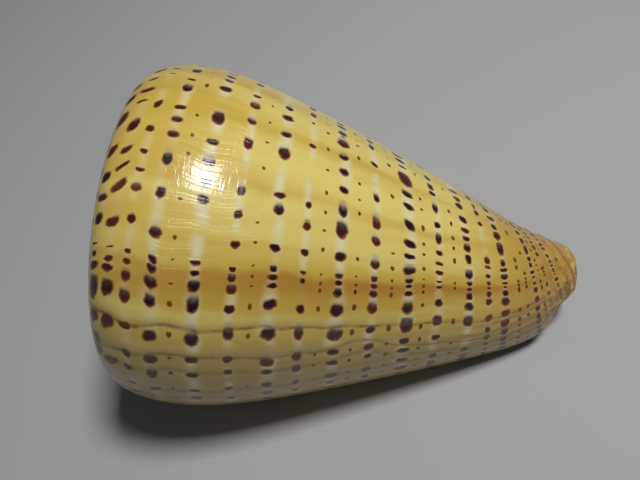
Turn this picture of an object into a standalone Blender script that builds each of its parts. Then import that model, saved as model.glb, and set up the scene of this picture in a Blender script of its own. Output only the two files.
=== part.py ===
"""Cone shell, lying on its side with its long opening turned down.

The shell is one solid. Its outer surface is the track of the growing lip: each step of
growth turns the lip's outline about the shell's axis and enlarges it about the spire's tip.
The opening is a real pocket between the lip and the turn that grew before it.
Units are metres and +Z is up; the outlines below are in millimetres.
"""

import math

import bmesh
import bpy
import numpy as np
from mathutils import Matrix, Vector

MM = 0.001
TURN = 2 * math.pi

# Growth: one full turn enlarges the whorl by this factor.
WHORL_GROWTH = 1.38
SHELL_LENGTH = 110.0

# Control points of the lip's outline, as (distance from the spire's tip along the axis,
# distance from the axis). The first group grows with the whorl: seam, ramp, shoulder, side.
# The second group is the blunt front end, which keeps its size.
LIP_BODY = ((6.4, 25.0), (7.6, 33.2), (9.3, 39.4), (28.1, 41.8), (55.7, 33.0), (89.5, 20.6), (105.8, 13.4))
LIP_FRONT = ((104.8, 8.6), (108.6, 8.2), (SHELL_LENGTH, 4.2), (SHELL_LENGTH, 0.0))

# Place on the outline, from 0 at the seam to 1 at the front end, where the next turn's
# seam will lie, and where the lip starts to curve back for the front notch.
SEAM = 0.09
NOTCH_START = 0.42
NOTCH_SWEEP = math.radians(95)
RAMP_SWEEP = math.radians(5)

# Inside the opening the central pillar is slimmer than the blunt end outside.
PILLAR_SLIM = 0.45
PILLAR_FROM = math.radians(-190)
PILLAR_TO = math.radians(-350)

# The first turns stand up in a small point.
PEAK_HEIGHT = 2.2
PEAK_WIDTH = 9.0

# Wall thickness at the lip's edge and deeper in, and how far in the hollow reaches. Its
# sections lie closer together near the lip, by this power.
LIP_EDGE = 1.5
WALL = 3.2
WALL_LIMIT = 0.85
WALL_DEPTH = math.radians(35)
POCKET_DEPTH = math.radians(300)
POCKET_POWER = 1.5
LIP_ROUNDING = 0.55

# Mesh steps: around one turn, across the ramp, from the ramp to the front end, and the
# number of turns kept in the spire. The pocket's corners lie at these levels of the lip.
STEPS = 54
STEP = TURN / STEPS
RAMP_LEVELS = 4
SIDE_LEVELS = 25
LAST_LEVEL = RAMP_LEVELS + SIDE_LEVELS
SPIRE_TURNS = 6
POCKET_BACK = 2
POCKET_FRONT = LAST_LEVEL - 3
POCKET_STEPS = 22
MERGE = 0.000005
SHARP_ANGLE = math.radians(40)

# The shell lies on its lip and on its side: turn about its own axis, then slope.
REST_TURN = math.radians(-52.78)
REST_SLOPE = math.radians(16.43)

SHELL_COLOUR = (0.80, 0.55, 0.20, 1.0)
SHELL_ROUGHNESS = 0.25


def spline_weights(place, count):
    """Weights of the control points of a clamped cubic B-spline at a place from 0 to 1."""
    spans = count - 3
    knots = [0.0] * 3 + [k / spans for k in range(spans + 1)] + [1.0] * 3
    place = min(max(place, 0.0), 1.0)
    span = 3 + min(int(place * spans), spans - 1)
    weights = [0.0] * (count + 3)
    weights[span] = 1.0
    for degree in range(1, 4):
        for k in range(span - degree, span + 1):
            left = knots[k + degree] - knots[k]
            right = knots[k + degree + 1] - knots[k + 1]
            value = 0.0
            if left > 0:
                value += (place - knots[k]) / left * weights[k]
            if right > 0:
                value += (knots[k + degree + 1] - place) / right * weights[k + 1]
            weights[k] = value
    return weights[:count]


def smooth(value, low, high):
    """Rise smoothly from 0 at low to 1 at high."""
    share = min(max((value - low) / (high - low), 0.0), 1.0)
    return share * share * (3 - 2 * share)


def outline_point(angle, place, body):
    """Point of the lip's outline at one growth angle: along the axis, and away from it."""
    growth = WHORL_GROWTH ** (angle / TURN)
    slim = 1 - PILLAR_SLIM * smooth(-angle, -PILLAR_FROM, -PILLAR_TO)
    points = [(growth * along, growth * out) for along, out in body]
    points += [(along, slim * out) for along, out in LIP_FRONT]
    weights = spline_weights(place, len(points))
    along = sum(weight * point[0] for weight, point in zip(weights, points))
    out = sum(weight * point[1] for weight, point in zip(weights, points))
    return along, out


def seam_matched(body):
    """Start the outline where the turn before has its shoulder, so that the turns join."""
    body = list(body)
    for _ in range(30):
        along, out = outline_point(0.0, SEAM, body)
        body[0] = (along / WHORL_GROWTH, out / WHORL_GROWTH)
    return body


BODY = seam_matched(LIP_BODY)


def sweep(place):
    """How far the lip lags behind at a place: a shallow bay on the ramp, a notch in front."""
    if place <= SEAM:
        return RAMP_SWEEP * math.sin(math.pi * place / SEAM) ** 2
    return NOTCH_SWEEP * smooth(place, NOTCH_START, 1.0)


def surface(angle, place):
    """Point of the outer surface, with the axis along +Z from the spire to the front end."""
    true_angle = angle - sweep(place)
    along, out = outline_point(true_angle, place, BODY)
    along -= PEAK_HEIGHT * math.exp(-(out / PEAK_WIDTH) ** 2)
    turned = Vector((out * math.cos(true_angle), out * math.sin(true_angle), along))
    return turned * MM


def level_place(level):
    """Place on the outline of a mesh level, which may be a fraction."""
    if level <= RAMP_LEVELS:
        return SEAM * level / RAMP_LEVELS
    return SEAM + (1 - SEAM) * (level - RAMP_LEVELS) / SIDE_LEVELS


def facing_level(level):
    """Level on the turn before that faces a level of the lip across the opening."""
    if level <= POCKET_BACK:
        return RAMP_LEVELS + level
    share = (level - POCKET_BACK) / (POCKET_FRONT - POCKET_BACK)
    start = RAMP_LEVELS + POCKET_BACK
    return max(level, start + share * (POCKET_FRONT - start))


def inner_point(depth, level):
    """Point of the wall's inner side, at an angle back from the lip."""
    outer = surface(-depth, level_place(level))
    facing = surface(-depth - TURN, level_place(facing_level(level)))
    if level <= POCKET_BACK or level >= POCKET_FRONT:
        return facing
    wall = LIP_EDGE + (WALL - LIP_EDGE) * smooth(depth, 0.0, WALL_DEPTH)
    wall *= WHORL_GROWTH ** (-depth / TURN) * MM
    return outer.lerp(facing, min(wall / (facing - outer).length, WALL_LIMIT))


def rim_point(level):
    """Point on the middle of the lip's rounded edge."""
    outer = surface(0.0, level_place(level))
    inner = inner_point(0.0, level)
    ahead = surface(STEP, level_place(level)) - outer
    width = min((inner - outer).length, LIP_EDGE * MM)
    return (outer + inner) / 2 + ahead.normalized() * width * LIP_ROUNDING


def sheet(bm, columns, levels, place_point):
    """Lay out a flat grid and move each of its points to its place on the shell."""
    made = bmesh.ops.create_grid(bm, x_segments=columns, y_segments=levels, size=1.0)
    for vert in made["verts"]:
        column = round((vert.co.x + 1) / 2 * columns)
        level = round((vert.co.y + 1) / 2 * levels)
        vert.co = place_point(column, level)


def spire(bm):
    """The ramps of the earlier turns, wound up to the tip."""
    columns = SPIRE_TURNS * STEPS
    sheet(bm, columns, RAMP_LEVELS, lambda column, level: surface(
        -TURN - (columns - column) * STEP, level_place(level)))


def last_turn(bm):
    """The outside of the last turn, from the seam to the front end."""
    sheet(bm, STEPS, LAST_LEVEL, lambda column, level: surface(
        column * STEP - TURN, level_place(level)))


def lip(bm):
    """The rounded edge of the lip, from the outside over its middle to the inside."""
    sides = (
        lambda level: surface(0.0, level_place(level)),
        rim_point,
        lambda level: inner_point(0.0, level),
    )
    sheet(bm, 2, LAST_LEVEL, lambda column, level: sides[column](level))


def pocket_depth(column):
    """How far back from the lip a section of the hollow lies."""
    return POCKET_DEPTH * (column / POCKET_STEPS) ** POCKET_POWER


def pocket(bm):
    """The hollow's walls: the inside of the lip, the old turn facing it, and the far end."""
    levels = POCKET_FRONT - POCKET_BACK
    old_start = RAMP_LEVELS + POCKET_BACK
    sheet(bm, POCKET_STEPS, levels, lambda column, level: inner_point(
        pocket_depth(column), POCKET_BACK + level))
    sheet(bm, POCKET_STEPS, POCKET_FRONT - old_start, lambda column, level: surface(
        -pocket_depth(column) - TURN, level_place(old_start + level)))

    def far_end(column, level):
        if column == 0:
            return inner_point(POCKET_DEPTH, POCKET_BACK + level)
        return surface(-POCKET_DEPTH - TURN, level_place(max(POCKET_BACK + level, old_start)))

    sheet(bm, 1, levels, far_end)


def close_tip(bm):
    """Close the hole at the spire's tip with a small cap."""
    rim = [edge for edge in bm.edges if edge.is_boundary]
    caps = bmesh.ops.holes_fill(bm, edges=rim, sides=0)["faces"]
    centre = bmesh.ops.poke(bm, faces=caps)["verts"]
    for vert in centre:
        vert.co = (0.0, 0.0, -PEAK_HEIGHT * MM)


def shell_mesh():
    """The whole shell as one closed mesh, axis along +Z."""
    bm = bmesh.new()
    spire(bm)
    last_turn(bm)
    lip(bm)
    pocket(bm)
    bmesh.ops.remove_doubles(bm, verts=bm.verts, dist=MERGE)
    close_tip(bm)
    bmesh.ops.recalc_face_normals(bm, faces=bm.faces)
    mesh = bpy.data.meshes.new("shell")
    bm.to_mesh(mesh)
    bm.free()
    return mesh


def laid_down():
    """Turn and slope that lay the shell on its lip and its side, spire to -X."""
    along_x = Matrix.Rotation(math.pi / 2, 4, "Y")
    turned = Matrix.Rotation(REST_TURN, 4, "X")
    sloped = Matrix.Rotation(REST_SLOPE, 4, "Y")
    return sloped @ turned @ along_x


def set_down(mesh):
    """Move the mesh so that it stands on Z = 0 with its box centred on the origin."""
    points = np.array([vert.co for vert in mesh.vertices])
    low, high = points.min(axis=0), points.max(axis=0)
    middle = (low + high) / 2
    mesh.transform(Matrix.Translation((-middle[0], -middle[1], -low[2])))


def shell_material():
    """Glossy yellow shell."""
    material = bpy.data.materials.new("shell_gloss")
    material.use_nodes = True
    principled = material.node_tree.nodes["Principled BSDF"]
    principled.inputs["Base Color"].default_value = SHELL_COLOUR
    principled.inputs["Roughness"].default_value = SHELL_ROUGHNESS
    principled.inputs["Metallic"].default_value = 0.0
    material.diffuse_color = SHELL_COLOUR
    return material


def clear_scene():
    """Remove the objects that a new file starts with."""
    for old in list(bpy.data.objects):
        bpy.data.objects.remove(old, do_unlink=True)


def main():
    """Build the shell."""
    clear_scene()
    collection = bpy.data.collections.new("cone_shell")
    bpy.context.scene.collection.children.link(collection)
    mesh = shell_mesh()
    mesh.transform(laid_down())
    set_down(mesh)
    mesh.materials.append(shell_material())
    mesh.shade_smooth()
    mesh.set_sharp_from_angle(angle=SHARP_ANGLE)
    collection.objects.link(bpy.data.objects.new("shell", mesh))


main()
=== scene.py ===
# %% [markdown]
# # A cone shell, from its growth to its gloss
# This lesson dresses one seashell: a yellow cone shell with rows of dark dots, lying on its lip.
# A cone shell is a rolled-up wall. The animal lays new wall along one edge, the lip, turns a
# little about the shell's axis, and is always a little bigger than before. Everything here
# follows from that: the surface, the growth lines and the dots all use the same two
# coordinates, how far the shell had grown and where on the lip a point was laid down.
#
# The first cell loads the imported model, which fixes the size and the place of the shell.

# %% Load the frame
import math

import bpy
import numpy as np
from mathutils import Matrix, Quaternion, Vector


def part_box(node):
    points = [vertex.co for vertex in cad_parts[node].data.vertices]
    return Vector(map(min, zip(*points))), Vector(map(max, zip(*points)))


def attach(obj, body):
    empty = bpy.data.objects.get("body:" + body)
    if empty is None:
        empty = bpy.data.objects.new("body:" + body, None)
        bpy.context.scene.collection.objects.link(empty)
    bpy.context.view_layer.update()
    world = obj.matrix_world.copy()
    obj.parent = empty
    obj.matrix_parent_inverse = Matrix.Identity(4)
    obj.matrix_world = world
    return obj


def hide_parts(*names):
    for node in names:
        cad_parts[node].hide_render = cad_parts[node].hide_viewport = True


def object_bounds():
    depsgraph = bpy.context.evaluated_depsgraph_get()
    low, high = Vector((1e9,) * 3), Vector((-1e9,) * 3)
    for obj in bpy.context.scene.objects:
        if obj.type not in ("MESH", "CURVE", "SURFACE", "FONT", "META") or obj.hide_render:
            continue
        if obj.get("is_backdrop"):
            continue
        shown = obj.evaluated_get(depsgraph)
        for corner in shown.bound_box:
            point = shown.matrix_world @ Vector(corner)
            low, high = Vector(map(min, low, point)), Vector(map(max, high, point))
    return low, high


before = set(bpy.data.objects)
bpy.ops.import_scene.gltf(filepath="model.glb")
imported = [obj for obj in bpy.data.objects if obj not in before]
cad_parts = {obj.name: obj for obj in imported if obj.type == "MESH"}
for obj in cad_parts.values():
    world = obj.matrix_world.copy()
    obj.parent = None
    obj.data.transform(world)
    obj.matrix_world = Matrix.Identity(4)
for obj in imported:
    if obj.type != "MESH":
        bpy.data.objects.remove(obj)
cad_low, cad_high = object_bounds()
MM = 0.001
cad_sides = Vector(cad_high) - Vector(cad_low)
print("CAD box in mm:", [round(side / MM, 1) for side in cad_sides])

# %% [markdown]
# ## The camera
# The photograph looks down on the shell from quite near, with the camera rolled, so that the
# shell's axis runs almost level across the picture although it slopes down to the front end.
# A camera can be aimed by a target object, but here it is clearer to give where it stands and
# where it looks, and then to roll it about its own line of sight.

# %% Place the camera
CAMERA_PLACE = Vector((25.7, -72.6, 139.8)) * MM
CAMERA_AIM = Vector((-10.2, 18.2, 0.0)) * MM
CAMERA_ROLL = math.radians(-18.0)
FOCAL_LENGTH = 35.0
SENSOR_WIDTH = 36.0
CLIP_START = 0.005

bpy.ops.object.select_all(action="DESELECT")
bpy.ops.object.camera_add(location=CAMERA_PLACE)
camera = bpy.context.object
camera.name = "photo_camera"
line_of_sight = (CAMERA_AIM - CAMERA_PLACE).to_track_quat("-Z", "Y")
camera.rotation_mode = "QUATERNION"
camera.rotation_quaternion = line_of_sight @ Quaternion((0, 0, 1), CAMERA_ROLL)
camera.data.lens = FOCAL_LENGTH
camera.data.sensor_width = SENSOR_WIDTH
camera.data.clip_start = CLIP_START
bpy.context.scene.camera = camera
print("camera to aim in mm:", round((CAMERA_AIM - CAMERA_PLACE).length / MM, 1))

# %% [markdown]
# ## Floor and light
# The floor is a plain pale sheet. A square soft lamp stands high on the front end's side, and
# its mirror image is the bright patch on the shoulder. A weak light from the other side and a
# dim sky keep the shade readable.

# %% Floor and lights
FLOOR_SIZE = 4.0
FLOOR_GREY = (0.50, 0.50, 0.50, 1)
FLOOR_ROUGHNESS = 0.9
KEY_PLACE = Vector((150.0, 30.0, 505.0)) * MM
KEY_SIZE = 0.10
KEY_POWER = 1.8
FILL_PLACE = Vector((-420.0, -260.0, 380.0)) * MM
FILL_SIZE = 0.6
FILL_POWER = 0.03
LIGHT_AIM = Vector((-16.0, -9.0, 50.0)) * MM
SKY_BLUE = (0.80, 0.88, 1.0, 1)
SKY_STRENGTH = 0.05


def aimed_light(name, place, size, power):
    """A square area light at a place, turned to the shell."""
    bpy.ops.object.light_add(type="AREA", location=place)
    light = bpy.context.object
    light.name = name
    light.data.shape = "SQUARE"
    light.data.size = size
    light.data.energy = power
    light.rotation_mode = "QUATERNION"
    light.rotation_quaternion = (LIGHT_AIM - place).to_track_quat("-Z", "Y")
    return light


bpy.ops.mesh.primitive_plane_add(size=FLOOR_SIZE, location=(0, 0, 0))
floor = bpy.context.object
floor.name = "pale_floor"
floor_paint = bpy.data.materials.new("pale_paper")
floor_paint.use_nodes = True
paper = floor_paint.node_tree.nodes["Principled BSDF"]
paper.inputs["Base Color"].default_value = FLOOR_GREY
paper.inputs["Roughness"].default_value = FLOOR_ROUGHNESS
floor.data.materials.append(floor_paint)
floor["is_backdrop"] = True

aimed_light("key", KEY_PLACE, KEY_SIZE, KEY_POWER)
aimed_light("fill", FILL_PLACE, FILL_SIZE, FILL_POWER)

sky = bpy.data.worlds.new("dim_sky")
sky.use_nodes = True
glow = sky.node_tree.nodes["Background"]
glow.inputs["Color"].default_value = SKY_BLUE
glow.inputs["Strength"].default_value = SKY_STRENGTH
bpy.context.scene.world = sky
bpy.context.scene.view_settings.view_transform = "Standard"
print("key light stands off by mm:", round((KEY_PLACE - LIGHT_AIM).length / MM))

# %% [markdown]
# ## The rule of growth
# The lip's outline is a smooth curve led by a few control points, each given as its distance
# along the axis from the spire's tip and its distance from the axis, in millimetres. The first
# points grow with every turn. The last ones are the blunt front end, which keeps its size.
# One full turn makes the growing part 1.38 times larger, and a point between them follows
# its share. The next turn will start at the place SEAM on the lip. Inside the mouth the pillar
# is slimmer than the end outside, and the first turns stand up in a small peak. These are the
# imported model's proportions, with the front end drawn in by a millimetre, which is nearer to
# the photograph.

# %% Driving dimensions
TURN = 2 * math.pi
WHORL_GROWTH = 1.38
LIP_BODY = np.array([(6.4, 25.0), (7.6, 33.2), (9.3, 39.4), (28.1, 41.8), (55.7, 33.0),
                     (89.5, 20.6), (105.8, 13.4)])
LIP_FRONT = np.array([(104.2, 8.4), (107.6, 7.9), (109.0, 4.1), (109.0, 0.0)])
SEAM = 0.09
NOTCH_START = 0.42
NOTCH_SWEEP = math.radians(95)
RAMP_SWEEP = math.radians(5)
PILLAR_SLIM = 0.45
PILLAR_FROM = math.radians(-190)
PILLAR_TO = math.radians(-350)
PEAK_HEIGHT = 2.2
PEAK_WIDTH = 9.0

# %% [markdown]
# ## The lip's outline as a curve
# A cubic B-spline is used because it stays smooth through shoulder and side whatever the
# control points do. Its weights depend only on the place along the lip, from 0 at the seam
# with the turn before to 1 at the front end. The outline has to start just where the turn
# before has its shoulder, so the first control point is moved there in a few rounds.

# %% Outline of the lip
SEAM_ROUNDS = 30


def smooth(value, low, high):
    """Rise smoothly from 0 at low to 1 at high."""
    share = np.clip((value - low) / (high - low), 0.0, 1.0)
    return share * share * (3 - 2 * share)


def fading(value, low, high):
    """Fall smoothly from 1 at low to 0 at high."""
    return smooth(-value, -high, -low)


def spline_weights(places, count):
    """Weights of the control points of a clamped cubic B-spline, one row for each place."""
    spans = count - 3
    knots = np.concatenate([np.zeros(3), np.linspace(0, 1, spans + 1), np.ones(3)])
    places = np.clip(places, 0.0, 1.0)
    weights = np.zeros((len(places), count + 3))
    weights[np.arange(len(places)), 3 + np.minimum((places * spans).astype(int), spans - 1)] = 1.0
    for degree in range(1, 4):
        raised = np.zeros_like(weights)
        for k in range(count + 3 - degree):
            left = knots[k + degree] - knots[k]
            if left > 0:
                raised[:, k] += (places - knots[k]) / left * weights[:, k]
            if k + degree + 1 < len(knots):
                right = knots[k + degree + 1] - knots[k + 1]
                if right > 0:
                    raised[:, k] += (knots[k + degree + 1] - places) / right * weights[:, k + 1]
        weights = raised
    return weights[:, :count]


def outline(angles, places, body):
    """Distances along the axis and away from it, for growth angles and places on the lip."""
    growth = WHORL_GROWTH ** (angles / TURN)
    slim = 1 - PILLAR_SLIM * fading(angles, PILLAR_TO, PILLAR_FROM)
    weights = spline_weights(places, len(body) + len(LIP_FRONT))
    of_body, of_front = weights[:, :len(body)], weights[:, len(body):]
    along = growth * (of_body @ body[:, 0]) + of_front @ LIP_FRONT[:, 0]
    out = growth * (of_body @ body[:, 1]) + slim * (of_front @ LIP_FRONT[:, 1])
    return along, out


BODY = LIP_BODY.copy()
for _ in range(SEAM_ROUNDS):
    seam_along, seam_out = outline(np.zeros(1), np.array([SEAM]), BODY)
    BODY[0] = seam_along[0] / WHORL_GROWTH, seam_out[0] / WHORL_GROWTH
sampled = np.linspace(0, 1, 200)
print("widest radius in mm:", round(outline(0 * sampled, sampled, BODY)[1].max(), 1))

# %% [markdown]
# ## From outline to surface
# A surface point is the outline turned about the axis. The lip isn't straight: it has a
# shallow bay on the ramp and sweeps far back at the front, where the animal's tube came out.
# Its edge is worn in a few spots, each given as its place, half width and depth in degrees.

# %% Surface of the grown shell
def sweep(places):
    """How far the lip lags behind at a place: a bay on the ramp and a notch in front."""
    bay = RAMP_SWEEP * np.sin(np.pi * places / SEAM) ** 2
    notch = NOTCH_SWEEP * smooth(places, NOTCH_START, 1.0)
    return np.where(places <= SEAM, bay, notch)


CHIPS = ((0.17, 0.012, 0.8), (0.262, 0.009, 0.5), (0.335, 0.02, 0.9), (0.42, 0.01, 0.4),
         (0.505, 0.014, 1.0), (0.56, 0.009, 0.6), (0.655, 0.02, 1.6), (0.72, 0.01, 0.8))
CHIP_REACH = math.radians(7)


def chipped(angles, places):
    """Growth angles drawn back where the edge of the lip is worn or chipped."""
    loss = sum(depth * np.exp(-((places - middle) / width) ** 2) for middle, width, depth in CHIPS)
    return angles - np.radians(loss) * smooth(angles, -CHIP_REACH, 0)


def grown(angles, places, proud=0.0):
    """Points of the outer surface in millimetres, with the axis along +Z, lifted by proud."""
    turned = chipped(angles, places) - sweep(places)
    along, out = outline(turned, places, BODY)
    along = along - PEAK_HEIGHT * np.exp(-(out / PEAK_WIDTH) ** 2)
    out = out + proud
    return np.stack([out * np.cos(turned), out * np.sin(turned), along], axis=1)


print("front end at mm along the axis:", grown(np.zeros(1), np.ones(1))[0, 2])

# %% [markdown]
# ## Rows of the mesh
# Every sheet of the shell gets the same rows, so that sheets which meet share their points.
# The rows are counted as levels: four across the ramp and 25 down the side, each cut in five.
# Across the opening, a level of the lip faces a level of the turn before, which is further
# on, because that turn is smaller. Each pause in growth gets a few columns of its own, close
# together, at these degrees from it, so that its step is sharp.

# %% Rows of the mesh
STEPS = 240
STEP = TURN / STEPS
FINE = 5
RAMP_LEVELS = 4
SIDE_LEVELS = 25
LAST_LEVEL = RAMP_LEVELS + SIDE_LEVELS
SPIRE_TURNS = 7
POCKET_BACK = 2
POCKET_FRONT = LAST_LEVEL - 3
FINE_COLUMNS = np.array([-0.9, -0.4, 0.1, 0.35, 0.6, 1.2])


def level_place(levels):
    """Place on the lip of a level, which may be a fraction."""
    ramp = SEAM * levels / RAMP_LEVELS
    side = SEAM + (1 - SEAM) * (levels - RAMP_LEVELS) / SIDE_LEVELS
    return np.where(levels <= RAMP_LEVELS, ramp, side)


def facing_level(levels):
    """Level on the turn before that faces a level of the lip across the opening."""
    share = (levels - POCKET_BACK) / (POCKET_FRONT - POCKET_BACK)
    start = RAMP_LEVELS + POCKET_BACK
    across = np.maximum(levels, start + share * (POCKET_FRONT - start))
    return np.where(levels <= POCKET_BACK, RAMP_LEVELS + levels, across)


# %% [markdown]
# ## Age and growth lines
# A growth line is where the lip once was, so all its points have one age. Ages are given in
# degrees of growth, 0 at today's lip and negative before it. A line runs straight over the
# side, waves a little, and lags behind towards the front end. Where growth paused, the edge
# was often uneven, so its line bends. The bends are listed as place on the lip and degrees,
# and the waves as degrees, number along the lip and change with age.

# %% Age of a point
LAG_START = 0.5
FRONT_LAG = 95.0
LAG_POWER = 1.5
WAVES = ((0.55, 6.0, 0.05), (0.40, 15.0, -0.11), (0.18, 29.0, 0.19))
WAVES_FULL = SEAM + 0.05
FIRST_PAUSE = -65.0
FIRST_BENDS = np.array([(0.11, -0.5), (0.15, 0.5), (0.19, 0.2), (0.23, -2.3), (0.256, 0.0),
                        (0.28, 0.2), (0.31, -2.0), (0.33, -0.7), (0.38, -1.5), (0.41, 0.3),
                        (0.45, 1.2), (0.50, 3.0)])
SECOND_PAUSE = -55.0
SECOND_BENDS = np.array([(0.12, 3.0), (0.16, 1.0), (0.19, 0.0), (0.222, -1.5), (0.25, -1.0),
                         (0.28, 0.5), (0.365, 0.0), (0.380, -2.0), (0.390, -3.8), (0.400, -4.0),
                         (0.411, -1.6), (0.422, 1.6), (0.444, 4.5), (0.47, 5.5), (0.50, 8.0)])
THIRD_PAUSE = -33.0
HIDDEN_PAUSE = -196.0
NO_BENDS = np.zeros((1, 2))


def age_of(angles, places):
    """Age of a point in degrees of growth; the growth lines are its level lines."""
    lag = FRONT_LAG * np.clip((places - LAG_START) / (1 - LAG_START), 0, 1) ** LAG_POWER
    ages = np.degrees(angles - sweep(places)) + lag
    wave = sum(size * np.sin(TURN * count * places + drift * ages) for size, count, drift in WAVES)
    return ages + wave * smooth(places, SEAM, WAVES_FULL)


def since(pause, bends, angles, places):
    """Degrees of growth since a pause, counted from its bent line."""
    return age_of(angles, places) - pause - np.interp(places, bends[:, 0], bends[:, 1])


print("ages at the lip, seam to front end:", np.round(age_of(0 * sampled, sampled)[::50]))

# %% [markdown]
# ## Slanting rows at the front end
# Down the side, what belongs to one place on the lip runs straight round the shell. At the
# front end it slants towards the tip, and so do the last rows of dots, the fine cords and the
# fold round the end. Places are counted along the slant there.

# %% Slant of the front end
SLANT_RATE = 0.0015
SLANT_PLACES = (0.56, 0.80)
SLANT_MIDDLE = -85.0
SLANT_SPAN = 75.0


def slanted(angles, places):
    """Place on the lip, counted along the slant of the front end."""
    ages = np.clip(age_of(angles, places) - SLANT_MIDDLE, -SLANT_SPAN, SLANT_SPAN)
    return places - SLANT_RATE * ages * smooth(places, *SLANT_PLACES)


# %% [markdown]
# ## Relief
# The wall isn't perfectly even. Growth left low ripples and, at its pauses, small real steps,
# because the new wall started just under the old edge. The front end has a low fold and fine
# cords. All of it is moved in the mesh, in millimetres, and it fades out where two sheets
# meet.

# %% Relief
RIPPLES = ((0.028, 0.55), (0.018, 1.10))
RIPPLE_SLANT = 9
PAUSE_STEPS = ((FIRST_PAUSE, FIRST_BENDS, 0.045), (SECOND_PAUSE, SECOND_BENDS, 0.035),
               (THIRD_PAUSE, NO_BENDS, 0.05), (HIDDEN_PAUSE, NO_BENDS, 0.06))
STEP_RISE = 1.8
STEP_FADE = 4.0
FOLD_PLACE = 0.772
FOLD_WIDTH = 0.012
FOLD_HEIGHT = 0.15
CORDS = 38.0
CORD_HEIGHT = 0.035
END_PLACES = (0.60, 0.70)
START_FADE = 0.02
SEAM_FADE = 0.03
TIP_FADE = (0.85, 0.97)


def relief(angles, places):
    """How far a point stands proud of the smooth shell, in millimetres."""
    ages = age_of(angles, places)
    proud = sum(size * np.sin(rate * ages + RIPPLE_SLANT * places) for size, rate in RIPPLES)
    for pause, bends, depth in PAUSE_STEPS:
        newer = since(pause, bends, angles, places)
        fade = np.exp(-np.maximum(newer, 0) / STEP_FADE)
        proud = proud - depth * smooth(newer, 0, STEP_RISE) * fade
    along_slant = slanted(angles, places)
    fold = FOLD_HEIGHT * np.exp(-((along_slant - FOLD_PLACE) / FOLD_WIDTH) ** 2)
    cords = CORD_HEIGHT * np.sin(TURN * CORDS * along_slant)
    proud = proud + (fold + cords) * smooth(places, *END_PLACES)
    from_seams = smooth(places, 0.0, START_FADE) * smooth(np.abs(places - SEAM), 0.0, SEAM_FADE)
    return proud * from_seams * fading(places, *TIP_FADE)


print("highest relief in mm:", round(relief(0 * sampled - 1.5, sampled).max(), 2))

# %% [markdown]
# ## Rows and pulses of dots
# The dots stand in rows that run around the shell, because each spot of the lip has its own
# colour glands, and in pulses that run along the lip, because the glands work on and off.
# The rows below are listed from the spire's ramp to the front end: place on the lip, half length
# along growth, half width across, both in millimetres, how red they are, and how cream the
# ground is between them. The pulses that show in the photograph are given by age and
# strength, and the older ones follow at seeded distances.

# %% Rows and pulses
ROWS = np.array((
    (0.028, 0.85, 2.10, 0.3, 0.2), (0.064, 1.10, 2.20, 0.2, 0.2), (0.101, 1.20, 1.75, 0.1, 0.3),
    (0.142, 0.98, 1.50, 0.5, 0.2), (0.173, 0.95, 1.00, 0.5, 0.4), (0.206, 1.10, 1.18, 0.1, 0.7),
    (0.228, 0.45, 0.40, 1.0, 0.0), (0.251, 1.15, 1.30, 0.1, 1.0), (0.286, 1.05, 0.98, 0.4, 0.8),
    (0.303, 0.38, 0.34, 1.0, 0.0), (0.320, 1.14, 1.26, 0.1, 1.0), (0.346, 0.95, 0.95, 0.4, 0.7),
    (0.360, 0.40, 0.34, 1.0, 0.0), (0.375, 1.14, 1.28, 0.1, 1.0), (0.389, 0.50, 0.40, 0.9, 0.0),
    (0.404, 0.98, 0.98, 0.3, 0.9), (0.419, 0.50, 0.42, 0.9, 0.0), (0.434, 1.25, 1.42, 0.0, 1.0),
    (0.447, 0.48, 0.40, 0.9, 0.0), (0.462, 1.00, 0.98, 0.3, 0.8), (0.478, 0.48, 0.42, 0.9, 0.0),
    (0.494, 1.25, 1.15, 0.1, 0.9), (0.519, 0.85, 0.78, 0.5, 0.4), (0.544, 1.05, 1.05, 0.1, 0.6),
    (0.570, 0.48, 0.44, 0.8, 0.0), (0.586, 0.48, 0.42, 0.8, 0.0), (0.608, 0.95, 0.78, 0.1, 0.4),
    (0.626, 0.40, 0.36, 0.8, 0.0), (0.644, 0.80, 0.62, 0.5, 0.2), (0.686, 1.10, 0.80, 0.2, 0.3),
    (0.722, 0.60, 0.50, 0.9, 0.0),
))
SEEN_FROM = math.radians(-95)
SEEN_PULSES = (
    (-154.0, 1.0), (-147.0, 0.6), (-140.5, 1.1), (-131.0, 0.9), (-122.5, 1.0), (-115.0, 0.85),
    (-107.5, 0.9), (-101.5, 1.0), (-91.5, 1.0), (-85.0, 0.55), (-82.2, 0.8), (-79.4, 1.0),
    (-73.2, 1.25), (-63.3, 1.4), (-54.0, 1.15), (-48.0, 1.1), (-39.0, 1.0), (-31.0, 1.0),
    (-23.0, 1.0), (-15.0, 1.0), (-8.0, 0.9), (0.0, 1.0), (9.0, 1.0), (18.0, 1.0),
)
OLDEST_PULSE = -2900
PULSE_STEP = (6.0, 13.0)
PULSE_STRENGTH = (0.7, 1.25)
PULSE_SEED = 11

dice = np.random.default_rng(PULSE_SEED)
older = [SEEN_PULSES[0]]
while older[-1][0] > OLDEST_PULSE:
    older.append((older[-1][0] - dice.uniform(*PULSE_STEP), dice.uniform(*PULSE_STRENGTH)))
PULSES = np.array(older[:0:-1] + list(SEEN_PULSES))
print(len(PULSES), "pulses,", len(ROWS), "rows")

# %% [markdown]
# ## Pulse and row at a point
# Each point gets the number of its pulse and of its row, as a fraction, so that whole numbers
# are the middles of dots. In the older part the pulses lean by TILT degrees from the middle of
# the side on. The distances to the next pulse and row in millimetres turn such a fraction
# into a size. On the shoulder the photograph has calm pulses with small dots where the orange
# band starts, and crowded ones with long dots after it.

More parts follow.
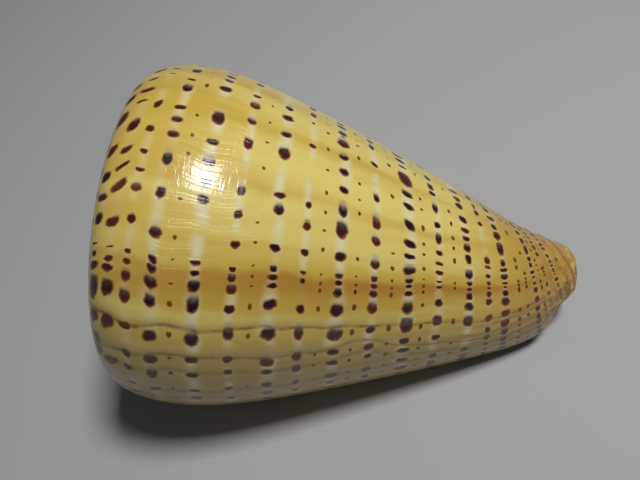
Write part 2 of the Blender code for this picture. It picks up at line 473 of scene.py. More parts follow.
# %% Pulse and row at a point
TILT = 6.0
TILT_PLACES = (0.38, 0.46)
TILT_AGES = (-96, -84)
WORN_TURNS = (-6.0 * TURN, -3.6 * TURN)
SMALL_STEP = 0.002
SHOULDER = (0.12, 0.185)
CROWDED_FROM = (-82, -78)
CROWDED_LONGER = 0.45
CROWDED_WIDER = 0.15
CALM_FROM = (-92, -89)
CALM_TO = (-82, -80)
CALM_SHORTER = 0.5
CALM_NARROWER = 0.4


def pulse_of(angles, places):
    """Number of the pulse at a point; whole numbers are the middles of dots."""
    ages = age_of(angles, places)
    ages = ages - TILT * smooth(places, *TILT_PLACES) * fading(ages, *TILT_AGES)
    return np.interp(ages, PULSES[:, 0], np.arange(len(PULSES)))


def row_of(angles, places):
    """Number of the row at a place, which goes on past the first and the last row."""
    row_places = ROWS[:, 0]
    along_slant = slanted(angles, places)
    first, last = row_places[0], row_places[-1]
    rows = np.interp(along_slant, row_places, np.arange(len(ROWS)))
    rows = rows + np.maximum(along_slant - last, 0) / (last - row_places[-2])
    return rows - np.maximum(first - along_slant, 0) / (row_places[1] - first)


def worn(angles):
    """How far the surface is worn off: the oldest turns of the spire have lost their colour."""
    return fading(angles, *WORN_TURNS)


def pitches(angles, places):
    """Millimetres from pulse to pulse and from row to row."""
    turned = angles - sweep(places)
    per_degree = np.radians(1) * outline(turned, places, BODY)[1]
    gaps = np.diff(PULSES[:, 0])
    gap = gaps[np.clip(pulse_of(angles, places).astype(int), 0, len(gaps) - 1)]
    ahead = np.stack(outline(turned, np.minimum(places + SMALL_STEP, 1), BODY))
    behind = np.stack(outline(turned, np.maximum(places - SMALL_STEP, 0), BODY))
    per_place = np.linalg.norm(ahead - behind, axis=0)
    rise = row_of(angles, places + SMALL_STEP) - row_of(angles, places - SMALL_STEP)
    return per_degree * gap, per_place / rise


def enlarged(angles, places):
    """How much longer and wider than their row's sizes the dots of a pulse are."""
    number = np.clip(np.rint(pulse_of(angles, places)).astype(int), 0, len(PULSES) - 1)
    strength = PULSES[number, 1] * WHORL_GROWTH ** ((angles - SEEN_FROM) / TURN)
    ages = age_of(angles, places)
    shoulder = fading(places, *SHOULDER)
    crowded = shoulder * smooth(ages, *CROWDED_FROM)
    calm = shoulder * smooth(ages, *CALM_FROM) * fading(ages, *CALM_TO)
    longer = strength * (1 + CROWDED_LONGER * crowded - CALM_SHORTER * calm)
    wider = np.sqrt(strength) * (1 + CROWDED_WIDER * crowded - CALM_NARROWER * calm)
    return longer, wider


print("pulse at the lip:", pulse_of(np.zeros(1), np.array([SEAM]))[0])

# %% [markdown]
# ## Sheets that grow
# Every part of the wall is one flat grid primitive whose columns are growth angles and whose
# rows are places on the lip. Moving each of its points to its place on the shell is the
# growth itself, and it is the one thing that Spin and Screw can't do, because they don't
# enlarge the outline as they turn it. Each corner of each face also keeps its age, its place
# and the numbers of its pulse and row, which the colours read later. They are kept by corner,
# because where two turns touch, one point belongs to two different ages.

# %% Sheets that grow
def mark_corners(piece, label, columns):
    """Keep up to three numbers of each point at its face corners."""
    corner_points = np.empty(len(piece.data.loops), dtype=np.int32)
    piece.data.loops.foreach_get("vertex_index", corner_points)
    marks = piece.data.attributes.new(label, "FLOAT_VECTOR", "CORNER")
    numbers = np.zeros((len(corner_points), 3), dtype=np.float32)
    numbers[:, :len(columns)] = np.stack(columns, axis=1)[corner_points]
    marks.data.foreach_set("vector", numbers.ravel())


def grown_sheet(name, columns, levels, place_points):
    """A flat grid, each point of which is moved to its place on the shell."""
    bpy.ops.object.select_all(action="DESELECT")
    across, down = len(columns) - 1, len(levels) - 1
    bpy.ops.mesh.primitive_grid_add(x_subdivisions=across, y_subdivisions=down, size=2)
    piece = bpy.context.object
    piece.name = name
    flat = np.empty(len(piece.data.vertices) * 3)
    piece.data.vertices.foreach_get("co", flat)
    flat = flat.reshape(-1, 3)
    column = np.rint((flat[:, 0] + 1) / 2 * across).astype(int)
    level = np.rint((flat[:, 1] + 1) / 2 * down).astype(int)
    points, angles, places, inside = place_points(columns[column], levels[level])
    piece.data.vertices.foreach_set("co", (points * MM).ravel())
    mark_corners(piece, "growth", (age_of(angles, places), places, inside))
    mark_corners(piece, "cell", (pulse_of(angles, places), row_of(angles, places), worn(angles)))
    mark_corners(piece, "pitch", pitches(angles, places))
    mark_corners(piece, "enlarged", enlarged(angles, places))
    first = since(FIRST_PAUSE, FIRST_BENDS, angles, places)
    second = since(SECOND_PAUSE, SECOND_BENDS, angles, places)
    mark_corners(piece, "pauses", (first, second, slanted(angles, places)))
    piece.data.update()
    print(name, len(piece.data.polygons), "faces")
    return piece


def outer_points(angles, levels):
    """The outside of the shell, ramp and side, with its relief."""
    places = level_place(levels)
    return grown(angles, places, relief(angles, places)), angles, places, np.zeros(len(angles))


# %% [markdown]
# ## Thickness and mouth
# The wall is thin at the lip's rounded edge and thicker further in. The hollow behind the mouth
# lies between it and the turn before, and closes at its far end, at the seam and at the front
# end. Each function also gives how white the glaze is: it begins on the lip's edge, and on the
# turn before it thickens inwards.

# %% Thickness and mouth
TINY = 0.000001
LIP_EDGE = 1.5
WALL = 3.2
WALL_LIMIT = 0.85
WALL_DEPTH = math.radians(35)
POCKET_DEPTH = math.radians(300)
POCKET_POWER = 1.5
POCKET_STEPS = 56
CLOSING_LEVELS = 1.5
LIP_ROUNDING = 0.55
LIP_COLUMNS = 7
END_COLUMNS = 4
EDGE_GLAZE = (0.3, 0.8)
OLD_GLAZE = (4, 26)


def inner_points(depths, levels):
    """The inner side of the wall, at an angle back from the lip."""
    places = level_place(levels)
    outer = grown(-depths, places)
    facing_places = level_place(facing_level(levels))
    facing = grown(-depths - TURN, facing_places, relief(-depths - TURN, facing_places))
    wall = LIP_EDGE + (WALL - LIP_EDGE) * smooth(depths, 0.0, WALL_DEPTH)
    wall = wall * WHORL_GROWTH ** (-depths / TURN)
    gap = np.linalg.norm(facing - outer, axis=1)
    share = np.minimum(wall / np.maximum(gap, TINY), WALL_LIMIT)
    opening = smooth(levels, POCKET_BACK, POCKET_BACK + CLOSING_LEVELS)
    opening = opening * fading(levels, POCKET_FRONT - CLOSING_LEVELS, POCKET_FRONT)
    share = 1 - (1 - share) * opening
    points = outer + (facing - outer) * share[:, None]
    return points, -depths, places, np.ones(len(depths))


def rim_points(turns, levels):
    """The rounded edge of the lip: a half circle from the outer side to the inner side."""
    places = level_place(levels)
    at_lip = np.zeros(len(levels))
    outer = grown(at_lip, places, relief(at_lip, places))
    inner = inner_points(at_lip, levels)[0]
    ahead = grown(np.full(len(levels), STEP), places) - outer
    ahead = ahead / np.maximum(np.linalg.norm(ahead, axis=1), TINY)[:, None]
    width = np.minimum(np.linalg.norm(inner - outer, axis=1), LIP_EDGE)
    across = (1 - np.cos(turns * math.pi)) / 2
    points = outer + (inner - outer) * across[:, None]
    points = points + ahead * (width * LIP_ROUNDING * np.sin(turns * math.pi))[:, None]
    return points, at_lip, places, smooth(turns, *EDGE_GLAZE)


def old_turn_points(depths, levels):
    """The turn before, where it faces the opening."""
    places = level_place(levels)
    angles = -depths - TURN
    points = grown(angles, places, relief(angles, places))
    return points, angles, places, smooth(np.degrees(depths), *OLD_GLAZE)


def far_end_points(sides, levels):
    """The far end of the hollow, from the wall to the old turn."""
    start = RAMP_LEVELS + POCKET_BACK
    deep = np.full(len(levels), POCKET_DEPTH)
    wall = inner_points(deep, levels)[0]
    old_places = level_place(np.maximum(levels, start))
    old = grown(-deep - TURN, old_places, relief(-deep - TURN, old_places))
    points = wall + (old - wall) * sides[:, None]
    return points, -deep, level_place(levels), np.ones(len(levels))


print("wall in mm:", LIP_EDGE, "to", WALL)

# %% [markdown]
# ## All the sheets
# Sheets that meet use the same columns and rows. The spire repeats the columns of the last
# turn for each turn before it. The hollow's columns lie closer together near the lip.

# %% All the sheets
all_levels = np.arange(LAST_LEVEL * FINE + 1) / FINE
ramp_levels = np.arange(RAMP_LEVELS * FINE + 1) / FINE
pocket_levels = np.arange(POCKET_BACK * FINE, POCKET_FRONT * FINE + 1) / FINE
old_levels = np.arange((RAMP_LEVELS + POCKET_BACK) * FINE, POCKET_FRONT * FINE + 1) / FINE
pocket_depths = POCKET_DEPTH * np.linspace(0, 1, POCKET_STEPS + 1) ** POCKET_POWER

turn_columns = np.arange(STEPS) * STEP - TURN
for pause, *_ in PAUSE_STEPS:
    turn_columns = np.concatenate([turn_columns, np.radians(pause + FINE_COLUMNS)])
turn_columns = np.unique(np.round(turn_columns, 6))
older_turns = [turn_columns - turn * TURN for turn in range(SPIRE_TURNS, 0, -1)]
spire_columns = np.append(np.concatenate(older_turns), -TURN)
turn_columns = np.append(turn_columns, 0.0)
turn_columns[0] = -TURN

sheets = [
    grown_sheet("last_turn", turn_columns, all_levels, outer_points),
    grown_sheet("spire", spire_columns, ramp_levels, outer_points),
    grown_sheet("lip", np.linspace(0, 1, LIP_COLUMNS), all_levels, rim_points),
    grown_sheet("inner_wall", pocket_depths, pocket_levels, inner_points),
    grown_sheet("old_turn", pocket_depths, old_levels, old_turn_points),
    grown_sheet("far_end", np.linspace(0, 1, END_COLUMNS), pocket_levels, far_end_points),
]

# %% [markdown]
# ## One closed surface
# The sheets are joined to one mesh, and the points that two sheets share are merged. The
# spire's last ring is filled to close its tip. A closed surface has exactly two corners for
# each edge, which the last line checks.

# %% Join the sheets
MERGE = 0.000005
bpy.ops.object.select_all(action="DESELECT")
for sheet in sheets:
    sheet.select_set(True)
bpy.context.view_layer.objects.active = sheets[0]
bpy.ops.object.join()
shell = bpy.context.object
shell.name = "cone_shell"
shell.data.name = "cone_shell"
bpy.ops.object.mode_set(mode="EDIT")
bpy.ops.mesh.select_all(action="SELECT")
bpy.ops.mesh.remove_doubles(threshold=MERGE)
bpy.ops.mesh.select_all(action="DESELECT")
bpy.ops.mesh.select_non_manifold(extend=False, use_wire=True, use_boundary=True, use_multi_face=True,
                                 use_non_contiguous=False, use_verts=False)
bpy.ops.mesh.edge_face_add()
bpy.ops.mesh.poke()
bpy.ops.mesh.select_all(action="SELECT")
bpy.ops.mesh.normals_make_consistent(inside=False)
bpy.ops.object.mode_set(mode="OBJECT")
corners = len(shell.data.loops)
triangles = corners - 2 * len(shell.data.polygons)
closed = corners == 2 * len(shell.data.edges)
print("shell", triangles, "triangles,", "closed" if closed else "not closed")

# %% [markdown]
# ## Laid on its lip
# The shell grew about the Z axis, and now it lies down as in the photograph: turned about its
# own axis until it rests on the lip and on the bulge of the last turn, and sloping to its
# narrow end. It is moved in the mesh, so that the object itself stays at the origin: its spire
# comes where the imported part's box begins, and it stands on the floor.

# %% Lay the shell down
REST_TURN = math.radians(-52.78)
REST_SLOPE = math.radians(16.43)
SHARP_ANGLE = math.radians(45)
laid_down = Matrix.Rotation(REST_SLOPE, 4, "Y") @ Matrix.Rotation(REST_TURN, 4, "X")
laid_down = laid_down @ Matrix.Rotation(math.pi / 2, 4, "Y")
shell.data.transform(laid_down)
points = np.empty(len(shell.data.vertices) * 3)
shell.data.vertices.foreach_get("co", points)
points = points.reshape(-1, 3)
node_low, node_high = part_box("shell")
low, high = points.min(axis=0), points.max(axis=0)
middle_y = (node_low[1] + node_high[1]) / 2
shift = Vector((node_low[0] - low[0], middle_y - (low[1] + high[1]) / 2, node_low[2] - low[2]))
shell.data.transform(Matrix.Translation(shift))
bpy.ops.object.shade_smooth_by_angle(angle=SHARP_ANGLE)
print("moved by mm:", [round(step / MM, 2) for step in shift])

# %% [markdown]
# ## Wiring a finish
# The finish is one node tree. A few small helpers keep it readable: each adds a node, joins or
# sets its inputs, and gives back its output, so that the wiring reads like a sum.

# %% Wiring helpers
glaze = bpy.data.materials.new("shell_glaze")
glaze.use_nodes = True
tree = glaze.node_tree
gloss = tree.nodes["Principled BSDF"]


def wire(socket, value):
    """Join a socket to another's output, or set it to a plain value."""
    if isinstance(value, bpy.types.NodeSocket):
        tree.links.new(value, socket)
    else:
        socket.default_value = value


def maths(operation, *values):
    """One step of arithmetic."""
    node = tree.nodes.new("ShaderNodeMath")
    node.operation = operation
    for socket, value in zip(node.inputs, values):
        wire(socket, value)
    return node.outputs[0]


def times(first, *others):
    """A product."""
    for other in others:
        first = maths("MULTIPLY", first, other)
    return first


def plus(first, *others):
    """A sum."""
    for other in others:
        first = maths("ADD", first, other)
    return first


def minus(first, second):
    """A difference."""
    return maths("SUBTRACT", first, second)


def ramp(value, low, high, start=0.0, end=1.0):
    """A smooth change from start to end while the value goes from low to high."""
    node = tree.nodes.new("ShaderNodeMapRange")
    node.interpolation_type = "SMOOTHSTEP"
    settings = {"Value": value, "From Min": low, "From Max": high, "To Min": start, "To Max": end}
    for name, number in settings.items():
        wire(node.inputs[name], number)
    return node.outputs["Result"]


def falling(value, low, high, start=1.0):
    """A smooth fall to 0."""
    return ramp(value, low, high, start, 0.0)


def so_far(what):
    """Print how many nodes there are by now."""
    print(what, len(tree.nodes), "nodes so far")


so_far("start:")

# %% [markdown]
# ## Colours, noise and marks
# The other helpers mix colours, join and part places, and make noise. The marks that the mesh
# keeps are read here by name.

# %% Colour, noise and mark helpers
MIX_SOCKETS = (0, 6, 7)  # share, first and second colour
MIX_RESULT = 2


def mixed(share, first, second):
    """Two colours mixed."""
    node = tree.nodes.new("ShaderNodeMix")
    node.data_type = "RGBA"
    for number, value in zip(MIX_SOCKETS, (share, first, second)):
        wire(node.inputs[number], value)
    return node.outputs[MIX_RESULT]


def joined(x, y, z=0.0):
    """Three numbers as one place."""
    node = tree.nodes.new("ShaderNodeCombineXYZ")
    for socket, value in zip(node.inputs, (x, y, z)):
        wire(socket, value)
    return node.outputs[0]


def parted(place):
    """The three numbers of a place or a colour."""
    node = tree.nodes.new("ShaderNodeSeparateXYZ")
    wire(node.inputs[0], place)
    return node.outputs[0], node.outputs[1], node.outputs[2]


def noise(place, scale=1.0, detail=2.0, part="Fac"):
    """Soft noise from 0 to 1, or its colour."""
    node = tree.nodes.new("ShaderNodeTexNoise")
    wire(node.inputs["Vector"], place)
    node.inputs["Scale"].default_value = scale
    node.inputs["Detail"].default_value = detail
    return node.outputs[part]


def marks(label):
    """The three numbers that the mesh keeps under a label."""
    node = tree.nodes.new("ShaderNodeAttribute")
    node.attribute_name = label
    return parted(node.outputs["Vector"])


age, place, inside = marks("growth")
pulse, row, worn_off = marks("cell")
pulse_pitch, row_pitch, _ = marks("pitch")
longer, wider, _ = marks("enlarged")
since_first, since_second, along_slant = marks("pauses")
body_place = tree.nodes.new("ShaderNodeTexCoord").outputs["Object"]
print("the glaze reads", len([node for node in tree.nodes if node.type == "ATTRIBUTE"]), "marks")

# %% [markdown]
# ## The ground colour
# The wall itself is yellow. It is paler or more orange in zones that follow growth, because
# the animal's food and pace changed. One strong orange band starts sharply and fades towards
# the newer side. The front end is more orange. The newest part is a little duller, and it is
# also darker as painted shade, because it lies on the shell's lower, shaded side.

# %% Ground
GROUND = (0.70, 0.48, 0.080, 1)
PALE_GROUND = (0.87, 0.71, 0.20, 1)
ORANGE_GROUND = (0.50, 0.22, 0.026, 1)
FRONT_GROUND = (0.56, 0.32, 0.050, 1)
DULL_SHADED_GROUND = (0.56, 0.40, 0.13, 1)
BAND_START = -84.0
BAND_RISE = (-1.5, 1.5)
BAND_FALL = (2.0, 13.0)
BAND_WIGGLE = 3.0
PALE_RISE = (0.20, 0.34)
PALE_FALL = (0.46, 0.58)
PALE_AGES = (-100.0, -84.0)
PALE_LIFT = 0.16
FRONT_PLACES = (0.47, 0.62)
NEWEST_SPAN = 12.0
NEWEST_SHARE = 0.8
CLOUD_SHARE = 0.18
CLOUD_SCALE = 90.0
SPECKLE_SCALE = 420.0

zone = noise(joined(times(age, 0.09), times(place, 2.2)), detail=3.0)
cloud = noise(body_place, scale=CLOUD_SCALE, detail=3.0)
speckle = noise(body_place, scale=SPECKLE_SCALE, detail=3.0)
pale_middle = times(ramp(place, *PALE_RISE), falling(place, *PALE_FALL),
                    falling(age, *PALE_AGES, PALE_LIFT))
ground = mixed(ramp(plus(zone, pale_middle), 0.40, 0.76), GROUND, PALE_GROUND)
ground = mixed(times(ramp(cloud, 0.52, 0.75), CLOUD_SHARE), ground, FRONT_GROUND)
front = times(ramp(place, *FRONT_PLACES), ramp(zone, 0.30, 0.72, 0.55, 1.0))
ground = mixed(front, ground, FRONT_GROUND)
wiggle = minus(noise(joined(times(place, 60.0), times(age, 0.15))), 0.5)
into_band = minus(plus(age, times(wiggle, BAND_WIGGLE)), BAND_START)
band = times(ramp(into_band, *BAND_RISE), falling(into_band, *BAND_FALL),
             ramp(place, 0.10, 0.34, 0.35, 0.85), ramp(zone, 0.25, 0.6, 0.75, 1.0),
             ramp(place, 0.46, 0.62, 1.0, 0.6))
ground = mixed(band, ground, ORANGE_GROUND)
# The newest part's ground is duller than the rest and also darkened as painted shade of the lower
# side.
newest_dull_and_shade = ramp(since_first, 0.0, NEWEST_SPAN)
ground = mixed(times(newest_dull_and_shade, NEWEST_SHARE), ground, DULL_SHADED_GROUND)
so_far("ground:")

# %% [markdown]
# ## The row at a point
# The table of rows has to be read at every point of the surface. A colour ramp with constant
# steps can hold such a table: each step is a row, and its four channels are the row's numbers,
# with the sizes as shares of SIZE_TOP millimetres. The ramp is read for the rows before and
# after the point, and the border between them lies nearer to the smaller dots.

# %% Numbers of the row
SIZE_TOP = 2.5


def row_numbers(number):
    """Half length, half width, redness and cream share of a row."""
    node = tree.nodes.new("ShaderNodeValToRGB")
    steps = node.color_ramp
    steps.interpolation = "CONSTANT"
    steps.elements[1].position = 1 / len(ROWS)
    for line in range(2, len(ROWS)):
        steps.elements.new(line / len(ROWS))
    for step, (half_long, half_wide, red, cream) in zip(steps.elements, ROWS[:, 1:]):
        step.color = (half_long / SIZE_TOP, half_wide / SIZE_TOP, red, cream)
    wire(node.inputs["Fac"], times(plus(number, 0.5), 1 / len(ROWS)))
    half_long, half_wide, red = parted(node.outputs["Color"])
    return times(half_long, SIZE_TOP), times(half_wide, SIZE_TOP), red, node.outputs["Alpha"]


def chosen(share, first, second):
    """The first number for a share of 0, and the second for a share of 1."""
    return plus(first, times(share, minus(second, first)))


row_before = maths("FLOOR", row)
before, after = row_numbers(row_before), row_numbers(plus(row_before, 1.0))
border = maths("DIVIDE", before[1], plus(before[1], after[1]))
is_after = maths("GREATER_THAN", minus(row, row_before), border)
middle_row = plus(row_before, is_after)
picked = [chosen(is_after, first, second) for first, second in zip(before, after)]
row_long, row_wide, redness, cream_share = picked
room = times(row_pitch, chosen(is_after, border, minus(1.0, border)))
print(len(ROWS), "rows in the ramp")

# %% [markdown]
# ## Size and lot of a dot
# A dot lies in the cell between two rows and two pulses. Its size is its row's, enlarged by
# its pulse and held to a share of the cell's room. The pulses wander a little in every row,
# mostly in the older part. The rounded pulse and the row chosen above name the nearest dot,
# and each dot draws its own lot of random numbers from that name.

# %% Size and lot of a dot
LONGEST_SHARE = 0.44
WIDEST_SHARE = 0.92
WANDER = 1.8
WANDER_AGES = (-100.0, -88.0)
LEAST_WANDER = 0.12

longest = times(pulse_pitch, LONGEST_SHARE)
half_length = times(row_long, longer)
squeeze = maths("SQRT", maths("MINIMUM", maths("DIVIDE", longest, half_length), 1.0))
half_width = maths("MINIMUM", times(row_wide, wider, squeeze), times(room, WIDEST_SHARE))
half_length = maths("MINIMUM", half_length, longest)

own_time = noise(joined(times(age, 0.045), times(middle_row, 7.3)), detail=0.0)
wander = times(minus(own_time, 0.5), WANDER, ramp(age, *WANDER_AGES, 1.0, LEAST_WANDER))
pulse = plus(pulse, wander)
middle_pulse = maths("ROUND", pulse)
lot = tree.nodes.new("ShaderNodeTexWhiteNoise")
lot.noise_dimensions = "2D"
wire(lot.inputs["Vector"], joined(middle_pulse, middle_row))
lot_early, lot_wide, lot_long = parted(lot.outputs["Color"])
lot_there = lot.outputs["Value"]
so_far("sizes and lots:")

# %% [markdown]
# ## Shape of a dot
# The distances to the dot's middle, along growth and across it, are bent by fine noise, which
# makes the edge ragged. Measured in half lengths and half widths, they give a reach that is 1
# at the edge. The newer side is round and sharp, the older side flat and soft, because the
# colour started slowly. Some dots are missing, small ones more often than large ones.

# %% Shape of a dot
RAGGED = 0.55
SHOULDER_RAGGED = 1.4 * RAGGED
END_RAGGED = 0.4
TIGHT_RAGGED = 0.25
RAGGED_SCALE = 800.0
UNEVEN = 0.24
DOT_SLANT = 0.42
LENGTHS = (0.72, 1.32)
WIDTHS = (0.84, 1.10)
FLAT_SIDE = 3.4
ROUND_SIDE = 2.0
SMALL_MISSING = 0.22
LAST_MISSING = (0.03, 0.45)

ragged_along, ragged_across, mottle = parted(noise(body_place, scale=RAGGED_SCALE, part="Color"))
across = times(minus(row, middle_row), row_pitch)
ragged = plus(ramp(place, 0.12, 0.19, SHOULDER_RAGGED, RAGGED),
              ramp(place, 0.58, 0.66, 0.0, END_RAGGED))
tight = ramp(maths("DIVIDE", half_width, room), 0.65, WIDEST_SHARE, 1.0, TIGHT_RAGGED)
across = plus(across, times(minus(ragged_across, 0.5), ragged, tight, half_width))
along = times(plus(minus(pulse, middle_pulse), times(minus(lot_early, 0.5), UNEVEN)), pulse_pitch)
along = plus(along, times(minus(ragged_along, 0.5), ragged, half_length))
along = plus(along, times(falling(place, 0.155, 0.165, DOT_SLANT), across))

to_newer = maths("DIVIDE", along, times(half_length, ramp(lot_long, 0.0, 1.0, *LENGTHS)))
sideways = maths("DIVIDE", across, times(half_width, ramp(lot_wide, 0.0, 1.0, *WIDTHS)))
squareness = ramp(to_newer, -0.4, 0.4, FLAT_SIDE, ROUND_SIDE)
both = plus(maths("POWER", maths("ABSOLUTE", to_newer), squareness),
            maths("POWER", maths("ABSOLUTE", sideways), squareness))
reach = maths("POWER", both, maths("DIVIDE", 1.0, squareness))
missing = plus(times(redness, SMALL_MISSING), ramp(along_slant, 0.70, 0.71, *LAST_MISSING))
there = times(maths("GREATER_THAN", lot_there, missing), falling(along_slant, 0.735, 0.745))
soft_from = ramp(to_newer, -1.0, 0.2, 0.45, 0.80)
dot = times(falling(reach, soft_from, 1.12), there)
so_far("dots:")

# %% [markdown]
# ## Colour of a dot
# Large dots are nearly black, and small ones dark red to orange, as their row's redness and
# their own lot say. A thin brown edge surrounds the dark core, with a mottled border.

# %% Colour of a dot
DOT_DARK = (0.020, 0.006, 0.010, 1)
DOT_RED = (0.095, 0.016, 0.010, 1)
DOT_ORANGE = (0.20, 0.075, 0.009, 1)
DOT_EDGE = (0.24, 0.070, 0.016, 1)
CORE_BORDER = (0.50, 0.95)
RED_TINT = 0.55

core = falling(plus(reach, times(minus(mottle, 0.5), 0.5)), *CORE_BORDER)
tint = plus(redness, times(minus(lot_wide, 0.5), 0.6))
dot_colour = mixed(ramp(tint, 0.0, RED_TINT), DOT_DARK, DOT_RED)
dot_colour = mixed(ramp(tint, RED_TINT, 1.0), dot_colour, DOT_ORANGE)
so_far("dot colours:")

# %% [markdown]
# ## Windows and veils
# Between the dots of the larger rows the wall is cream, with soft edges. On the older side
# of many dots the colour lies under some clear shell, so it looks grey and milky.

# %% Windows and veils
CREAM = (0.86, 0.81, 0.48, 1)
VEIL = (0.36, 0.34, 0.25, 1)
WINDOW_WANDER = 3.0
WINDOW_REACH = 1.5
VEIL_SHARE = 0.66
VEIL_REACH = (0.15, 1.15)

wandering = plus(across, times(minus(cloud, 0.5), WINDOW_WANDER, half_width))
in_row = falling(maths("ABSOLUTE", maths("DIVIDE", wandering, half_width)), 0.0, WINDOW_REACH)
patchy = noise(joined(times(age, 0.13), times(middle_row, 1.7)), detail=1.0)
window = times(in_row, cream_share, ramp(patchy, 0.34, 0.58), ramp(band, 0.0, 1.0, 0.85, 0.35))
coloured = mixed(window, ground, CREAM)
coloured = mixed(dot, coloured, mixed(core, DOT_EDGE, dot_colour))
above = plus(to_newer, 1.0)
veil_reach = maths("SQRT", plus(times(above, above), times(sideways, sideways)))
veil = times(falling(veil_reach, *VEIL_REACH, VEIL_SHARE), ramp(lot_long, 0.35, 0.75), cream_share,
             ramp(lot_there, 0.0, 0.2))
coloured = mixed(veil, coloured, VEIL)
so_far("windows and veils:")

# %% [markdown]
# ## Growth lines
# Each pause left a thin brown line at the old edge of the lip, and a softer stain before it.
# Two strong ones run along the bent steps modelled above, and weaker ones follow. They are
# listed as what they are counted from, degrees, strength and width. The newest part has soft
# brown bands and faint hairs, because growth had slowed down, and towards the front end these
# bands begin earlier.

# %% Growth lines
LINE_BROWN = (0.14, 0.062, 0.030, 1)
STAIN_BROWN = (0.30, 0.14, 0.05, 1)
LINES = (
    (since_first, 0.0, 0.65, 1.2), (since_second, 0.0, 0.50, 1.2), (since_second, 6.5, 0.30, 2.2),
    (age, -38.0, 0.30, 1.6), (age, THIRD_PAUSE, 0.40, 1.6),
)
LINE_WIGGLE = 1.2
LINE_CORE = 0.1
LINE_REACH = 0.8
STAIN_REACH = -2.5
STAIN_SHARE = 0.5
FRONT_PART = (0.44, 0.60)
DULL_EARLIER = 18.0
DULL_AGES = (-56.0, -46.0)
HAIR_AGES = (-66.0, -48.0)
HAIR_SHARE = 0.10

for counted, line_age, strength, width in LINES:
    newer = minus(plus(counted, times(wiggle, LINE_WIGGLE)), line_age)
    stain = times(ramp(newer, STAIN_REACH * width, 0.0), falling(newer, 0.0, width),
                  STAIN_SHARE * strength, ramp(zone, 0.3, 0.6, 0.3, 1.0))
    coloured = mixed(stain, coloured, STAIN_BROWN)
    line = falling(maths("ABSOLUTE", newer), LINE_CORE * width, LINE_REACH * width, strength)
    coloured = mixed(times(line, ramp(speckle, 0.40, 0.60, 0.35, 1.0)), coloured, LINE_BROWN)

dull_bands = noise(joined(times(age, 0.25), times(place, 1.5)))
late = plus(age, ramp(place, *FRONT_PART, 0.0, DULL_EARLIER))
dull = times(ramp(dull_bands, 0.46, 0.62), ramp(late, *DULL_AGES),
             ramp(place, *FRONT_PART, 0.35, 0.6))
coloured = mixed(dull, coloured, STAIN_BROWN)
streaks = noise(joined(times(age, 1.7), times(place, 5.0)), detail=4.0)
hairs = times(ramp(streaks, 0.54, 0.74), ramp(age, *HAIR_AGES, 0.0, HAIR_SHARE))
coloured = mixed(hairs, coloured, LINE_BROWN)
so_far("growth lines:")

# %% [markdown]
# ## Front end
# Round the front end runs a fold with a dark edge. The wall beyond it is paler, and all of
# the end is streaked brown along its slant, where the animal's siphon rubbed it.

# %% Front end
SLANT_SCALE = 34.0
END_AGES = (-70.0, -60.0)
PALE_END = 0.6
FOLD_LINE = 0.7
FOLD_REACH = (0.001, 0.014)

end_only = ramp(place, *END_PLACES)
slant_streaks = noise(joined(times(age, 0.05), times(along_slant, SLANT_SCALE)), detail=3.0)
past_fold = minus(along_slant, FOLD_PLACE)
pale_end = times(maths("MAXIMUM", ramp(past_fold, 0.0, 0.02), ramp(age, *END_AGES, 0.0, 0.7)),
                 end_only, falling(slant_streaks, 0.34, 0.56, PALE_END))
coloured = mixed(pale_end, coloured, PALE_GROUND)
brown_end = times(maths("MAXIMUM", ramp(slant_streaks, 0.47, 0.62), ramp(speckle, 0.48, 0.60)),
                  ramp(place, 0.56, 0.72), ramp(age, -80.0, -60.0, 0.40, 0.75))
coloured = mixed(brown_end, coloured, STAIN_BROWN)
from_fold = maths("ABSOLUTE", plus(past_fold, times(minus(cloud, 0.5), 0.03)))
fold_line = times(falling(from_fold, *FOLD_REACH, FOLD_LINE), end_only)
coloured = mixed(fold_line, coloured, STAIN_BROWN)
so_far("front end:")

# %% [markdown]
# ## Spire and mouth
# The oldest turns of the spire are worn down to pale shell. Each turn meets the next in a
# fine brown seam. Inside the mouth the wall has a white glaze, which also covers the old
# turn a little way in from the lip.

# %% Spire and mouth
WORN_SHELL = (0.70, 0.52, 0.32, 1)
GLAZE_WHITE = (0.78, 0.74, 0.65, 1)
SEAM_WIDTH = 0.008
SEAM_SHARE = 0.7

coloured = mixed(falling(place, 0.0, SEAM_WIDTH, SEAM_SHARE), coloured, LINE_BROWN)
coloured = mixed(times(worn_off, ramp(cloud, 0.3, 0.6, 0.6, 1.0)), coloured, WORN_SHELL)
coloured = mixed(inside, coloured, GLAZE_WHITE)
wire(gloss.inputs["Base Color"], coloured)
so_far("all colours:")

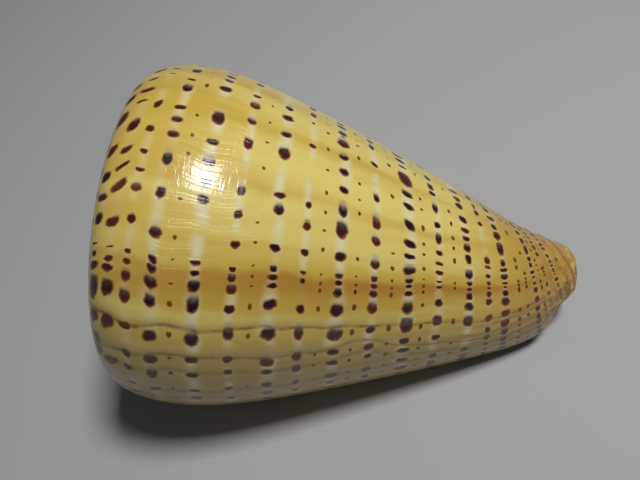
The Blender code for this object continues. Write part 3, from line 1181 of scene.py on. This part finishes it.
# %% [markdown]
# ## Gloss
# The colours lie under a clear polished layer, so the gloss is a coat. The wall under it has
# only a weak, soft shine of its own, rougher where it is worn or dull. Fine growth threads one
# way and finer spiral threads the other way break up the coat's mirror image into short
# bright streaks. They are far too small to model, so they are a bump, which the coat takes in
# full and the wall under it faintly. What is the same all over is set on the shader's own
# sockets, because an exported model keeps it only there.

# %% Gloss
THREAD_HEIGHT = 0.00004
FAINT_SHARE = 0.12
SPIRAL_SHARE = 0.45
MOUTH_THREADS = 0.3
COAT_WEIGHT = 0.85
COAT_ROUGHNESS = 0.16
WALL_ROUGHNESS = (0.44, 0.56)
WORN_ROUGHER = 0.25
DULL_ROUGHER = 0.1
WALL_SHINE = 0.1

growth_threads = noise(joined(times(age, 2.4), times(place, 3.0)), detail=3.0)
spiral_threads = noise(joined(times(age, 0.20), times(place, 300.0)))
threads = plus(ramp(growth_threads, 0.50, 0.80), ramp(spiral_threads, 0.45, 0.80, 0.0, SPIRAL_SHARE))
threads = times(threads, ramp(inside, 0.0, 1.0, 1.0, MOUTH_THREADS))
for socket, height in (("Coat Normal", THREAD_HEIGHT), ("Normal", FAINT_SHARE * THREAD_HEIGHT)):
    bump = tree.nodes.new("ShaderNodeBump")
    bump.inputs["Strength"].default_value = 1.0
    bump.inputs["Distance"].default_value = height
    wire(bump.inputs["Height"], threads)
    wire(gloss.inputs[socket], bump.outputs["Normal"])
gloss.inputs["Coat Weight"].default_value = COAT_WEIGHT
gloss.inputs["Coat Roughness"].default_value = COAT_ROUGHNESS
wall_roughness = plus(ramp(cloud, 0.3, 0.7, *WALL_ROUGHNESS), times(worn_off, WORN_ROUGHER),
                      times(dull, DULL_ROUGHER))
wire(gloss.inputs["Roughness"], wall_roughness)
gloss.inputs["Specular IOR Level"].default_value = WALL_SHINE
shell.data.materials.clear()
shell.data.materials.append(glaze)
so_far("whole glaze:")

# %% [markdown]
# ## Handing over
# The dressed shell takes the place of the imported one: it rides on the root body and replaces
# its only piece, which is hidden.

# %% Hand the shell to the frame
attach(shell, "root")
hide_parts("shell")

# %% [markdown]
# ## Sizes
# The two boxes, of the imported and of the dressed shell, are written down to compare them.

# %% Sizes, and finish
dressed_low, dressed_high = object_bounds()
dressed_sides = Vector(dressed_high) - Vector(dressed_low)
print("dressed box in mm:", [round(side / MM, 1) for side in dressed_sides])
